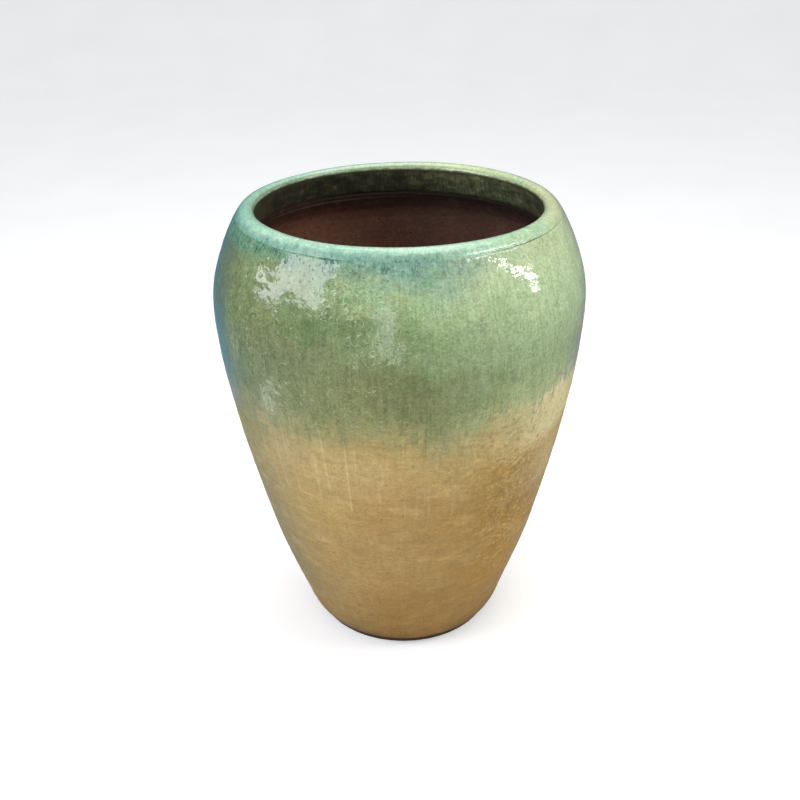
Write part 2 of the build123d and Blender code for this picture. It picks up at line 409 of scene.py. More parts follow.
def link(name, data):
    ob = bpy.data.objects.new(name, data)
    bpy.context.scene.collection.objects.link(ob)
    return ob


SKIN, SKIN_VALUES = shape_skin()
SKIN_NORMALS = grid_normals(SKIN)


def coat_piece(name, part, hidden_rows):
    """One coat: its outer rows, then a few hidden rows back along the clay side."""
    first, last = COAT_ENDS[part:part + 2]
    rows = slice(first, last + 1)
    start, stop = ROW_S[first], ROW_S[last]
    back = np.linspace(1, 0, hidden_rows)[:, None]
    hidden_s = start + (stop - start) * (0.004 + 0.992 * back)
    r, z, out_r, out_z = skin.at_and_out(hidden_s)
    out = uneven(r, z) - GLAZE_T
    r, z = r + out_r * out, z + out_z * out
    hidden = np.stack([r * COS, r * SIN, z], -1)
    blank = np.zeros((hidden_rows, COLUMNS))
    values = {key: np.concatenate([v[rows], blank]) for key, v in SKIN_VALUES.items()}
    arc = np.concatenate([ROW_S[rows], hidden_s])
    values["arc"] = arc
    values["edge"] = np.clip(arc - GREEN_S, -150, 300)
    values["toe"] = np.clip(arc - TOE_S, 0, 100)
    return make_mesh(name, np.concatenate([SKIN[rows], hidden]),
                     np.concatenate([SKIN_NORMALS[rows], grid_normals(hidden)]), values)


tan_coat = coat_piece("tan_coat", part=0, hidden_rows=7)
green_coat = coat_piece("green_coat", part=1, hidden_rows=7)
rim_coat = coat_piece("rim_coat", part=2, hidden_rows=12)
inner_coat = coat_piece("inner_coat", part=3, hidden_rows=7)

# ---- the clay body ------------------------------------------------------------------------------
# values of the "zone" attribute
UNDER_COAT, LIP, CAVITY, FLOOR, DRAIN, RECESS, FOOT_RING, HEEL = range(8)

LIP_TOP = (LIP_R + LIP_INSET, LIP_Z + 0.66)
LIP_LOW = (LIP_TOP[0] + 3.0, LIP_TOP[1] - 7.0)
LIP_END_DIR = (0.80, -0.60)
HEEL_END = (158.83, 8.93)
DRAIN_R = 16.0
FLOOR_EDGE, FLOOR_Z, FLOOR_INNER_R = (96.0, 33.5), 31.0, 18.0
UNDERSIDE_Z = 5.0

CAVITY_WALL_Z = (625.0, 590.0, 540.0, 480.0, 410.0, 340.0, 270.0, 205.0, 150.0, 105.0)
CAVITY_BOTTOM = [(166.0, 72.0), (150.0, 50.5), (124.0, 37.5), FLOOR_EDGE]
# (radius, height)
DRAIN_STATIONS = [
    (17.4, 30.75), (16.7, 30.2), (16.2, 29.4), (DRAIN_R, 28.4), (DRAIN_R, 23.0),
    (DRAIN_R, 18.0), (DRAIN_R, 13.0), (DRAIN_R, 8.0), (16.2, 6.9), (16.7, 5.9), (17.4, 5.25),
    (18.2, UNDERSIDE_Z)]
RECESS_RADII = (24.0, 34.0, 46.0, 58.0, 70.0, 82.0, 94.0, 102.0, 107.0)
RING_SHOULDER = [(109.5, 4.7), (111.2, 4.0), (112.3, 3.0), (113.4, 1.9), (114.8, 0.95),
                 (116.4, 0.35), (118.5, 0.1)]
RING_RADII = (123.0, 130.0, 137.0, 143.0, 147.0)


def wall_point(z, depth):
    r, z, out_r, out_z = skin.at_and_out(outside.arc_at(z))
    return float(r - out_r * depth), float(z - out_z * depth)


lip_curve = spline([LIP_TOP, (LIP_TOP[0] + 0.6, LIP_TOP[1] - 4.2), LIP_LOW],
                   (0.10, -1.0), LIP_END_DIR)
cavity = spline([LIP_LOW, (246.0, 678.0), wall_point(661.0, 23.0),
                 *(wall_point(z, GLAZE_T + WALL) for z in CAVITY_WALL_Z), *CAVITY_BOTTOM],
                LIP_END_DIR, (-1.0, -0.075))
heel_curve = spline([(148.0, 0.0), (153.6, 1.5), HEEL_END], (1.0, 0.0), (0.62, 0.78))


class ClayRows:
    """Rings of the clay body with their attribute values."""

    def __init__(self):
        self.rings, self.arc, self.relief, self.zone = [], [], [], []

    def add(self, r, z, arc, relief, zone):
        r, z = np.broadcast_to(r, COLUMNS), np.broadcast_to(z, COLUMNS)
        self.rings.append(np.stack([r * COS, r * SIN, np.maximum(z, 0)], -1))
        for values, value in ((self.arc, arc), (self.relief, relief), (self.zone, zone)):
            values.append(np.broadcast_to(value, COLUMNS))


def under_coat_rows(clay):
    """The outside of the clay, under the coats, from the toe to the lip."""
    for t in np.concatenate([np.linspace(0, 0.9, 10), np.linspace(0.915, 1.0, 12)]):
        s = TOE_S + (LIP_EDGE - TOE_S) * t
        r, z, out_r, out_z = skin.at_and_out(s)
        out = uneven(r, z) - GLAZE_T
        if t == 0:
            out = out + 0.15
        clay.add(r + out_r * out, z + out_z * out, s, 0, UNDER_COAT)


def lip_rows(clay):
    shift = uneven(*LIP_TOP)
    for t in np.linspace(0.12, 1, 7):
        s = lip_curve.length * t
        r, z, out_r, out_z = lip_curve.at_and_out(s)
        wobble = 0.35 * mid_noise(COS * NOISE_R, SIN * NOISE_R, s, across=26, up=6, lift=50)
        clay.add(r - shift * 0.9 + out_r * wobble, z + out_z * wobble, 900 + s, wobble, LIP)


def cavity_rows(clay):
    """The inside wall with throwing rings."""
    rows, pitch = 104, 21.0
    u = np.linspace(0, 1, rows + 1)[1:]
    for s in cavity.length * (0.42 * u + 0.58 * u ** 1.7):
        r, z, out_r, out_z = cavity.at_and_out(s)
        x, y = COS * r, SIN * r
        fade = smooth(0, 25, s) * smooth(0, 30, cavity.length - s)
        sway = s + 6 * ring_noise(x, y, z, across=150, up=170)
        ring = (np.sin(2 * math.pi * sway / pitch)
                + 0.35 * np.sin(4 * math.pi * sway / pitch + 1))
        height = 0.34 * (0.55 + 0.6 * ring_noise(x, y, z, across=200, up=60, shift=4))
        dent = (0.9 * low_noise(x, y, z, across=70, up=70, shift=5)
                + 0.30 * mid_noise(x, y, z, across=24, up=24))
        out = fade * (height * ring + dent)
        # the inside follows most of the wall's slow unevenness, less of it near the floor
        follow = uneven(r, z) * 0.8 * (1 if z > 120 else 0.3)
        clay.add(r + out_r * out + follow, z + out_z * out, 1000 + s, out, CAVITY)


def floor_rows(clay):
    edge_r, edge_z = FLOOR_EDGE
    for t in np.linspace(0.1, 1, 12):
        r = edge_r + (FLOOR_INNER_R - edge_r) * t
        z = edge_z + (FLOOR_Z - edge_z) * t
        out = (0.5 * np.sin(2 * math.pi * r / 13.0) * smooth(18, 40, r)
               + 0.5 * low_noise(COS * r, SIN * r, 3, across=50) * smooth(18, 50, r))
        clay.add(r, z + out, 2000 + r, out, FLOOR)


def drain_rows(clay):
    """The drain hole, with a softened, slightly ragged edge."""
    x, y = COS * DRAIN_R, SIN * DRAIN_R
    rag = 0.5 * mid_noise(x, y, 2, across=6) + 0.2 * mid_noise(x, y, 9, across=2.5)
    for r, z in DRAIN_STATIONS:
        strength = 1.0 if 9 < z < 28 else 0.6
        clay.add(r + rag * strength * 0.7, z, 3000 + z, rag, DRAIN)


def underside_rows(clay):
    """The recess and the ring the jar stands on."""
    for r in RECESS_RADII:
        out = (0.35 * low_noise(COS * r, SIN * r, 7, across=30)
               + 0.25 * np.sin(2 * math.pi * r / 11.0))
        clay.add(r, UNDERSIDE_Z + out * smooth(18, 40, r), 4000 + r, out, RECESS)
    sway = 0.8 * mid_noise(COS * 112, SIN * 112, 1, across=30)
    for r, z in RING_SHOULDER:
        out = 0.30 * (1 + mid_noise(COS * r, SIN * r, 5, across=18)) * 0.5
        clay.add(r + sway, z + out * 0.5, 4200 + r, out, FOOT_RING)
    for r in RING_RADII:
        x, y = COS * r, SIN * r
        out = np.maximum(0, 0.18 * mid_noise(x, y, 8, across=14)
                         + 0.10 * fine_noise(x, y, 8, across=5))
        clay.add(r, out, 4300 + r, out, FOOT_RING)


def heel_rows(clay):
    """The rounded heel, then bare clay up to the tan coat's edge."""
    for t in np.linspace(0.1, 1, 9):
        s = heel_curve.length * t
        r, z, out_r, out_z = heel_curve.at_and_out(s)
        x, y = COS * r, SIN * r
        out = (0.35 * mid_noise(x, y, z, across=20, up=12) * t
               + 0.12 * fine_noise(x, y, z, across=6, up=6))
        clay.add(r + out_r * out, z + out_z * out, 5000 + s, out, HEEL)
    for t in (0.35, 0.7):
        s = TOE_S * t
        r, z, out_r, out_z = skin.at_and_out(s)
        out = (clay_low(r, z) - LOW_SHIFT * t - GLAZE_T + 0.15 * t
               + 0.25 * mid_noise(COS * r, SIN * r, z, across=16, up=16))
        clay.add(r + out_r * out, z + out_z * out, 5100 + s, out, HEEL)


def build_clay():
    clay = ClayRows()
    for add_rows in (under_coat_rows, lip_rows, cavity_rows, floor_rows, drain_rows,
                     underside_rows, heel_rows):
        add_rows(clay)
    return make_mesh("clay_jar", np.array(clay.rings), None, {
        "relief": np.array(clay.relief), "arc": np.array(clay.arc), "zone": np.array(clay.zone)})


clay_jar = build_clay()

for ob, node, slot in ((clay_jar, "clay_body", "terracotta"),
                       (tan_coat, "tan_glaze", "tan_glaze"),
                       (green_coat, "green_glaze", "green_glaze"),
                       (rim_coat, "rim_glaze", "rim_glaze"),
                       (inner_coat, "inner_glaze", "inner_glaze")):
    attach(ob, "root")
    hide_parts(node)


# ---- building node trees ------------------------------------------------------------------------
def linear(rgb):
    """8-bit display colour to linear."""
    parts = [c / 255.0 for c in rgb]
    return (*(c / 12.92 if c <= 0.04045 else ((c + 0.055) / 1.055) ** 2.4 for c in parts), 1.0)


class Value:
    """A node's output. Arithmetic and the methods below build further nodes from it."""

    def __init__(self, nodes, socket):
        self.nodes, self.socket = nodes, socket

    def __add__(self, other):
        return self.nodes.math("ADD", self, other)

    def __radd__(self, other):
        return self.nodes.math("ADD", other, self)

    def __sub__(self, other):
        return self.nodes.math("SUBTRACT", self, other)

    def __rsub__(self, other):
        return self.nodes.math("SUBTRACT", other, self)

    def __mul__(self, other):
        return self.nodes.math("MULTIPLY", self, other)

    def __truediv__(self, other):
        return self.nodes.math("DIVIDE", self, other)

    def __abs__(self):
        return self.nodes.math("ABSOLUTE", self)

    def times_plus(self, factor, extra):
        return self.nodes.math("MULTIPLY_ADD", self, factor, extra)

    def step(self, start, stop, low=0.0, high=1.0):
        """Smooth step from low to high as this goes from start to stop."""
        node = self.nodes.node("ShaderNodeMapRange", interpolation_type="SMOOTHSTEP")
        for i, value in enumerate((self, start, stop, low, high)):
            self.nodes.put(node.inputs[i], value)
        return Value(self.nodes, node.outputs[0])

    def window(self, rise, fall):
        return self.step(*rise) * self.step(*fall, low=1.0, high=0.0)

    def spread(self):
        """Noise about 0.5 made harder and centred on 0."""
        return self.step(0.34, 0.66, low=-0.5, high=0.5)

    def lerp(self, at_0, at_1):
        node = self.nodes.node("ShaderNodeMix", data_type="FLOAT")
        for i, value in ((0, self), (2, at_0), (3, at_1)):
            self.nodes.put(node.inputs[i], value)
        return Value(self.nodes, node.outputs[0])


class Nodes:
    """Helper for building the node tree of a material or a world."""

    def __init__(self, owner):
        owner.use_nodes = True
        self.owner, self.tree = owner, owner.node_tree
        self.tree.nodes.clear()

    def node(self, kind, **props):
        node = self.tree.nodes.new(kind)
        for key, value in props.items():
            setattr(node, key, value)
        return node

    def put(self, socket, value):
        if isinstance(value, Value):
            self.tree.links.new(value.socket, socket)
        else:
            socket.default_value = value

    def build(self, kind, inputs, output=0, **props):
        """A node with its inputs set, as the value of one output."""
        node = self.node(kind, **props)
        for key, value in inputs.items():
            self.put(node.inputs[key], value)
        return Value(self, node.outputs[output])

    def math(self, operation, *values, clamp=False):
        return self.build("ShaderNodeMath", dict(enumerate(values)), operation=operation,
                          use_clamp=clamp)

    def root(self, x, y):
        """Length of (x, y)."""
        return self.math("SQRT", x.times_plus(x, y * y))

    def vector(self, x, y, z):
        return self.build("ShaderNodeCombineXYZ", {0: x, 1: y, 2: z})

    def xyz(self, vector):
        node = self.node("ShaderNodeSeparateXYZ")
        self.put(node.inputs[0], vector)
        return [Value(self, socket) for socket in node.outputs]

    def stretch(self, across=1.0, up=1.0, shift=(0.0, 0.0, 0.0), point=None):
        """A point, this material's own unless given, divided by sizes and shifted."""
        return self.build("ShaderNodeVectorMath", {
            0: point or self.point, 1: (1 / across, 1 / across, 1 / up), 2: shift},
            operation="MULTIPLY_ADD")

    def noise(self, point, size=1.0, detail=3.0, rough=0.5, distortion=0.0):
        return self.build("ShaderNodeTexNoise", {
            "Vector": point, "Scale": 1 / size, "Detail": detail, "Roughness": rough,
            "Distortion": distortion})

    def cells(self, point, size):
        """Distance to the nearest cell centre, and two random values of the cell."""
        cell = self.node("ShaderNodeTexVoronoi")
        self.put(cell.inputs["Vector"], point)
        self.put(cell.inputs["Scale"], 1 / size)
        color = self.node("ShaderNodeSeparateColor")
        self.tree.links.new(cell.outputs["Color"], color.inputs[0])
        return (Value(self, cell.outputs["Distance"]), Value(self, color.outputs[0]),
                Value(self, color.outputs[1]))

    def linear_ramp(self, factor, stops):
        """Colour ramp from (position, linear colour) stops."""
        node = self.node("ShaderNodeValToRGB")
        self.put(node.inputs[0], factor)
        elements = node.color_ramp.elements
        while len(elements) > 1:
            elements.remove(elements[-1])
        for i, (position, color) in enumerate(stops):
            element = elements.new(position) if i else elements[0]
            element.position = position
            element.color = color
        return Value(self, node.outputs[0])

    def ramp(self, value, stops, span=None):
        """Colour against a value, over the span of the stops unless given."""
        low, high = span or (stops[0][0], stops[-1][0])
        factor = self.math("DIVIDE", value - low, high - low, clamp=True)
        return self.linear_ramp(
            factor, [((at - low) / (high - low), linear(rgb)) for at, rgb in stops])

    def mix(self, factor, a, b):
        a, b = (linear(v) if isinstance(v, tuple) else v for v in (a, b))
        return self.build("ShaderNodeMix", {0: factor, 6: a, 7: b}, output=2,
                          data_type="RGBA")


class Material(Nodes):
    """Jar material: coordinates in millimetres and a running colour that is painted over."""

    def __init__(self, name):
        super().__init__(bpy.data.materials.new(name))
        local = self.build("ShaderNodeTexCoord", {}, output="Object")
        self.point = self.stretch(across=MM, up=MM, point=local)
        x, y, self.z = self.xyz(self.point)
        self.r = self.math("MAXIMUM", self.root(x, y), 0.001)
        # direction round the axis
        self.cx, self.cy = x / self.r, y / self.r

    def attribute(self, name):
        return self.build("ShaderNodeAttribute", {}, output="Fac",
                          attribute_type="GEOMETRY", attribute_name=name)

    def grain(self, size, shift=(0.0, 0.0, 0.0), detail=2.0, rough=0.55):
        """Even noise from -0.5 to 0.5 with more contrast than plain noise."""
        point = self.stretch(across=size, up=size, shift=shift)
        return self.noise(point, detail=detail, rough=rough).spread()

    def blotch(self, across, up, shift=(0.0, 0.0, 0.0), detail=5.0, rough=0.6):
        """Noise about 0, with one size across and another up."""
        return self.noise(self.stretch(across, up, shift), detail=detail, rough=rough) - 0.5

    def round_noise(self, around, up, shift=0.0, detail=3.0, rough=0.5, distortion=0.0):
        """Noise with one grain size round the jar and another up it."""
        scale = NOISE_R / around
        point = self.vector(self.cx.times_plus(scale, shift), self.cy * scale,
                            self.z * (1 / up))
        return self.noise(point, detail=detail, rough=rough, distortion=distortion)

    def turn(self, at, width):
        """1 at an angle round the axis, falling off both ways, in degrees."""
        angle = math.radians(at)
        dot = self.cx.times_plus(math.cos(angle), self.cy * math.sin(angle))
        return self.math("EXPONENT", (dot - 1.0) * (1.0 / math.radians(width) ** 2))

    def spot(self, at, width, rise, fall, height=None):
        """A patch at an angle, in a window of height in millimetres unless height is given."""
        return self.turn(at, width) * (height or self.z).window(rise, fall)

    def lay(self, color, mask, amount=None):
        """Paint a colour over the running one."""
        factor = mask if amount is None else mask * amount
        self.color = self.mix(factor, self.color, color)

    def tinted(self, factors):
        """The running colour times a factor for each channel."""
        return self.build("ShaderNodeVectorMath", {0: self.color, 1: factors},
                          operation="MULTIPLY")

    def brighten(self, value):
        self.color = self.build("ShaderNodeVectorMath", {0: self.color, 3: value},
                                operation="SCALE")

    def specks(self, amount, pale):
        """Dark specks and a few pale pinholes, about 1 to 2 mm.

        Gives the (cell picked, dot) masks of both kinds.
        """
        distance, chance, size = self.cells(self.point, size=8.0)
        pick = chance.step(0.84, 0.86)
        dot = (distance - size * 0.10).step(0.10, 0.04)
        self.lay((58, 60, 40), pick * dot, 0.62 * amount)
        distance, _, chance = self.cells(self.stretch(shift=(31.0, 7.0, 3.0)), size=12.0)
        pale_pick = chance.step(0.88, 0.90)
        pale_dot = distance.step(0.13, 0.06)
        self.lay((212, 218, 186), pale_pick * pale_dot, pale * amount)
        return (pick, dot), (pale_pick, pale_dot)

    def bump(self, height):
        """Normal from a height in millimetres."""
        return self.build("ShaderNodeBump", {"Strength": 1.0, "Distance": MM, "Height": height})

    def finish(self, rough, normal, coat, coat_rough, specular, coat_normal=None):
        surface = self.build("ShaderNodeBsdfPrincipled", {
            "Base Color": self.color, "Roughness": rough, "Normal": normal,
            "Specular IOR Level": specular, "Coat Weight": coat,
            "Coat Roughness": coat_rough, "Coat IOR": 1.5,
            "Coat Normal": coat_normal or normal})
        self.build("ShaderNodeOutputMaterial", {0: surface}, output=None) if False else \
            self.put(self.node("ShaderNodeOutputMaterial").inputs[0], surface)
        return self.owner


# ---- outside glaze ------------------------------------------------------------------------------
# (height in millimetres, display colour) on three faces of the jar
GLAZE_LEFT = [
    (4, (96, 70, 38)), (14, (140, 108, 62)), (45, (166, 137, 85)), (95, (178, 146, 90)),
    (200, (186, 155, 99)), (270, (190, 158, 101)), (340, (199, 169, 107)),
    (400, (203, 174, 119)), (434, (199, 175, 124)), (458, (184, 170, 117)),
    (480, (163, 158, 108)), (500, (143, 143, 93)), (518, (131, 134, 86)),
    (545, (130, 135, 88)), (600, (119, 127, 82)), (632, (129, 140, 94)),
    (665, (127, 141, 97)), (700, (125, 140, 95)), (716, (122, 141, 97)),
    (736, (110, 146, 112))]
GLAZE_FRONT = [
    (4, (92, 64, 32)), (14, (132, 98, 46)), (30, (152, 115, 56)), (63, (167, 129, 68)),
    (110, (175, 138, 77)), (165, (180, 143, 85)), (225, (185, 153, 97)),
    (300, (188, 155, 99)), (345, (187, 153, 96)), (382, (193, 160, 105)),
    (425, (202, 173, 117)), (460, (195, 169, 112)), (487, (177, 163, 108)),
    (508, (155, 151, 100)), (530, (140, 143, 94)), (560, (130, 134, 87)),
    (590, (126, 133, 85)), (625, (138, 157, 106)), (660, (140, 160, 110)),
    (690, (162, 182, 131)), (708, (163, 185, 141)), (722, (147, 174, 141)),
    (736, (136, 170, 142))]
GLAZE_RIGHT = [
    (4, (98, 72, 36)), (14, (136, 104, 52)), (30, (156, 120, 62)), (78, (176, 139, 79)),
    (150, (176, 139, 77)), (210, (175, 142, 80)), (305, (175, 140, 79)),
    (350, (178, 145, 84)), (395, (185, 154, 94)), (430, (191, 168, 112)),
    (460, (187, 173, 121)), (480, (189, 179, 128)), (505, (178, 184, 134)),
    (525, (166, 178, 127)), (548, (156, 174, 123)), (575, (152, 172, 124)),
    (600, (161, 181, 135)), (640, (178, 198, 153)), (670, (183, 203, 158)),
    (705, (190, 207, 161)), (736, (182, 198, 154))]


class OutsideGlaze(Material):
    """Shared fields: a wandering height, a wandering side from left to right, and green."""

    def __init__(self, name):
        super().__init__(name)
        # heights wander and run in fine vertical streaks where the green meets the tan
        fine = self.round_noise(around=4.2, up=90, shift=1, detail=2, rough=0.6) - 0.5
        medium = self.round_noise(around=12, up=160, shift=3, detail=3, rough=0.55) - 0.5
        wander = self.blotch(across=75, up=60, detail=4)
        band = self.z.window(rise=(425, 480), fall=(530, 590))
        streaks = (fine * 62 + medium * 62) * band.times_plus(1.0, 0.06)
        rag = (self.blotch(across=14, up=16, shift=(7, 0, 2), detail=4, rough=0.65)
               * band.times_plus(62, 12))
        lifts = (self.turn(at=-77, width=8) * 28 + self.turn(at=-104, width=9) * 9
                 + self.turn(at=-158, width=15) * 22)
        self.run_z = self.z + rag + (wander * 52 + streaks) + lifts
        self.side = self.cx + self.blotch(across=62, up=80, shift=(5.2, 1.1, 0), detail=4,
                                          rough=0.55) * 0.55
        self.green = self.run_z.step(462, 528)
        left, front, right = (self.ramp(self.run_z, stops, span=(0, 750))
                              for stops in (GLAZE_LEFT, GLAZE_FRONT, GLAZE_RIGHT))
        self.color = self.mix(self.side.step(0.0, 0.74), front, right)
        self.lay(left, self.side.step(-0.10, -0.52))

    def coat(self, tan, green):
        """One value on the tan coat and another on the green."""
        return self.green.lerp(tan, green)


def thick_and_thin(m):
    """Olive where the glaze lies thick, pale where thin, with warm and cool patches."""
    patch = m.blotch(across=46, up=34, shift=(3.1, 0, 0), detail=6, rough=0.62)
    thick = patch.step(0.05, 0.17)
    thin = patch.step(-0.05, -0.18)
    m.lay(m.tinted((0.66, 0.80, 0.62)), thick * m.green, m.side.step(0.0, 0.6).lerp(0.62, 0.22))
    m.lay(m.tinted((1.22, 1.16, 1.26)), thin, m.coat(tan=0.40, green=0.55))
    warm = m.blotch(across=30, up=22, shift=(8.4, 2, 0), detail=4)
    upper = m.side.step(0.3, -0.1) * m.z.step(610, 660)
    m.lay(m.tinted((1.12, 0.99, 0.86)), warm.step(0.0, 0.20),
          upper.lerp(m.coat(tan=0.55, green=0.34), 0.80))
    m.lay(m.tinted((0.84, 1.0, 0.98)), warm.step(-0.01, -0.16), upper * 0.85)


def left_pools(m):
    """Dark pools and brown breaks on the left, cream breaks further left, painted edge reflection
    and shade.
    """
    pool = m.blotch(across=34, up=26, shift=(4.4, 8, 1), detail=5, rough=0.62)

    def pool_window(sway, rise, fall):
        return (m.z + pool * sway).window(rise, fall)

    dark = pool_window(150, rise=(612, 640), fall=(655, 696)) * m.turn(at=-111, width=13)
    m.lay((102, 124, 80), dark, 0.62)
    brown = pool_window(130, rise=(565, 592), fall=(612, 640)) * m.turn(at=-118, width=13)
    m.lay((130, 131, 93), brown, 0.50)
    beside = m.turn(at=-142, width=10) * pool_window(90, rise=(492, 530), fall=(640, 690))
    m.lay((98, 106, 60), beside, 0.52)
    # painted reflection and shade along the left silhouette: a dark bluish teal band, with a grey
    # band higher up
    edge = m.cx + (pool * 0.10 + (m.z - 560) * -0.00016)
    teal = (edge.step(-0.862, -0.900) * m.cy.step(0.50, 0.10)
            * pool_window(60, rise=(488, 530), fall=(610, 680)))
    m.lay(m.mix(m.z.step(600, 500), (76, 98, 84), (98, 120, 118)), teal, 0.66)
    grey = (edge.step(-0.80, -0.94) * m.cy.step(0.50, 0.10)
            * m.z.window(rise=(596, 650), fall=(706, 724)))
    m.lay((92, 98, 74), grey, 0.62)
    # painted reflection of the pale floor: a pale violet patch at the left silhouette
    painted_floor_reflection = (edge.step(-0.850, -0.880) * m.cy.step(0.40, 0.0)
              * pool_window(50, rise=(438, 460), fall=(478, 505)))
    m.lay((176, 172, 176), painted_floor_reflection, 0.55)
    clump = m.blotch(across=30, up=30, shift=(1, 6, 3), detail=3).step(-0.02, 0.08)
    breaks = (m.spot(at=-142, width=7, rise=(545, 575), fall=(655, 690))
              * (clump * m.grain(size=6, shift=(5, 5, 5), detail=3).step(0.02, 0.30)))
    m.lay((184, 186, 132), breaks, 0.40)


def tan_breaks(m):
    """Ochre and crusty breaks front right, cream at the green's edge, painted grey reflection on
    the left.
    """
    low_ochre = (m.spot(at=-43, width=9, rise=(110, 170), fall=(260, 330))
                 * m.blotch(across=26, up=34, shift=(1.7, 0, 0)).step(-0.16, 0.06))
    m.lay((196, 150, 52), low_ochre, 0.80)
    high_ochre = (m.spot(at=-54, width=7, rise=(372, 392), fall=(425, 450))
                  * m.blotch(across=22, up=22, shift=(4.7, 2, 0)).step(-0.14, 0.04))
    m.lay((190, 150, 70), high_ochre, 0.85)
    golden = m.spot(at=-52, width=16, rise=(100, 200), fall=(400, 435))
    m.lay(m.tinted((0.98, 0.93, 0.74)), golden, 0.9)
    m.crust = m.spot(at=-46, width=13, rise=(150, 260), fall=(470, 500))
    m.crumbs = m.crust * m.grain(size=4.4, shift=(8, 2, 5), detail=3).step(0.20, 0.42)
    m.lay((226, 200, 138), m.crumbs, 0.50)
    dark_crust = m.crust * m.blotch(across=20, up=14, shift=(6, 6, 0)).step(0.02, 0.16)
    m.lay((136, 106, 56), dark_crust, 0.55)
    cream = m.spot(at=-33, width=14, rise=(402, 442), fall=(492, 530),
                   height=m.run_z + m.turn(at=-56, width=12) * 10)
    m.lay((234, 222, 172), cream * m.blotch(across=30, up=18, shift=(2, 7, 0)).step(-0.34, -0.06))
    m.lay((219, 196, 146), m.spot(at=-30, width=10, rise=(300, 345), fall=(390, 430)), 0.55)
    # painted reflection: greyer along the left silhouette of the tan
    m.lay((138, 134, 98), m.spot(at=-151, width=16, rise=(50, 150), fall=(470, 510)), 0.72)


def drips_and_clouds(m):
    """Pale drips and soft clouds in the tan, below the green."""
    ends = m.z + (m.round_noise(around=9, up=300, shift=2, detail=1) - 0.5) * 220
    drips = (m.round_noise(around=4.6, up=130, shift=6, detail=2).step(0.56, 0.68)
             * ends.window(rise=(320, 350), fall=(430, 480)))
    m.lay((224, 201, 152), drips, m.turn(at=-111, width=14).times_plus(0.38, 0.16))
    cloud = m.blotch(across=60, up=24, shift=(2, 9, 4))
    m.lay((214, 186, 136), cloud.step(0.03, 0.16),
          m.coat(tan=m.z.step(80, 260, low=0.08, high=0.30), green=0.0))
    m.lay((150, 120, 72), cloud.step(-0.03, -0.18), m.coat(tan=0.18, green=0.0))


def rim_bleed(m):
    """Teal bleeding down from the rim on the left and front, with dark runs and flecks."""
    left_front = (m.cx + m.cy.step(-0.2, 0.4) * 0.5).step(0.34, 0.12)
    far_left = m.side.step(-0.18, -0.50)
    ragged = m.z + (m.blotch(across=22, up=14, shift=(0, 4, 0), rough=0.65) * 70
                    + (m.round_noise(around=6, up=16, shift=4.4, rough=0.65) - 0.5) * 24)
    bleed = ragged.step(far_left.lerp(717, 729), far_left.lerp(737, 744)) * left_front
    m.lay(m.mix(far_left, (112, 152, 134), (84, 134, 108)), bleed, 0.70)
    run = m.round_noise(around=4.2, up=8, shift=7.7, rough=0.65)
    where = m.blotch(across=26, up=60, shift=(6, 0, 3), detail=3).step(-0.12, 0.10)
    dark_run = (run.step(0.49, 0.58) * where
                * (ragged.window(rise=(706, 724), fall=(744, 752)) * left_front))
    m.lay((48, 84, 74), dark_run, far_left.lerp(0.52, 0.80))
    distance, chance, _ = m.cells(m.stretch(up=1.25, shift=(11, 3, 8)), size=4.6)
    m.fleck = (chance.step(0.66, 0.68) * distance.step(0.34, 0.16)
               * (ragged.window(rise=(690, 722), fall=(740, 748)) * left_front))
    m.lay((48, 80, 74), m.fleck, 0.62)
    blue = (m.spot(at=-73, width=9, rise=(708, 722), fall=(737, 741))
            * m.blotch(across=8, up=8, shift=(2, 2, 0), detail=3).step(-0.10, 0.08))
    m.lay((112, 138, 134), blue, 0.6)


def combing(m):
    """Brightness: upright combing on the green, level wrinkles on the tan, grain on both."""
    m.level = m.round_noise(around=40, up=5.6, shift=4, detail=4, rough=0.62, distortion=0.6)
    m.level_fine = m.round_noise(around=16, up=3.2, shift=2.6, rough=0.62, distortion=0.4)
    m.comb = m.round_noise(around=3, up=44, shift=2, rough=0.62).spread()
    wide_comb = m.round_noise(around=7, up=100, shift=9, rough=0.6).spread()
    m.small_grain = m.grain(size=5.2, shift=(3, 1, 0), detail=3, rough=0.6)
    amount = m.side.step(-0.4, 0.5, low=1.16, high=1.0)
    # the level wrinkles and the relief lighten the colour where the surface rises and darken it
    # where it falls: partly the glaze's own streaks, partly painted light and shade
    value = (1.0 + m.comb * m.coat(tan=0.05, green=0.16)
             + wide_comb * m.coat(tan=0.05, green=0.09)
             + m.level.spread() * m.coat(tan=0.09, green=0.03)
             + m.level_fine.spread() * m.coat(tan=0.06, green=0.03)
             + m.grain(size=2.8, rough=0.6) * m.coat(tan=0.15, green=amount * 0.26)
             + m.small_grain * m.coat(tan=0.12, green=amount * 0.18)
             + m.grain(size=11, shift=(0, 0, 6), detail=4, rough=0.6)
             * m.coat(tan=0.07, green=amount * 0.13)
             + m.grain(size=24, shift=(1, 4, 6), detail=4, rough=0.6)
             * m.coat(tan=0.05, green=amount * 0.10)
             + m.attribute("relief") * 0.03)
    value = value * m.coat(tan=m.side.step(0.1, -0.5, low=0.868, high=0.825),
                           green=m.side.step(0.0, -0.4, low=0.925, high=0.905))
    dim = m.spot(at=-78, width=12, rise=(500, 545), fall=(650, 690), height=m.run_z)
    m.brighten(value * (1.0 - dim * 0.07))


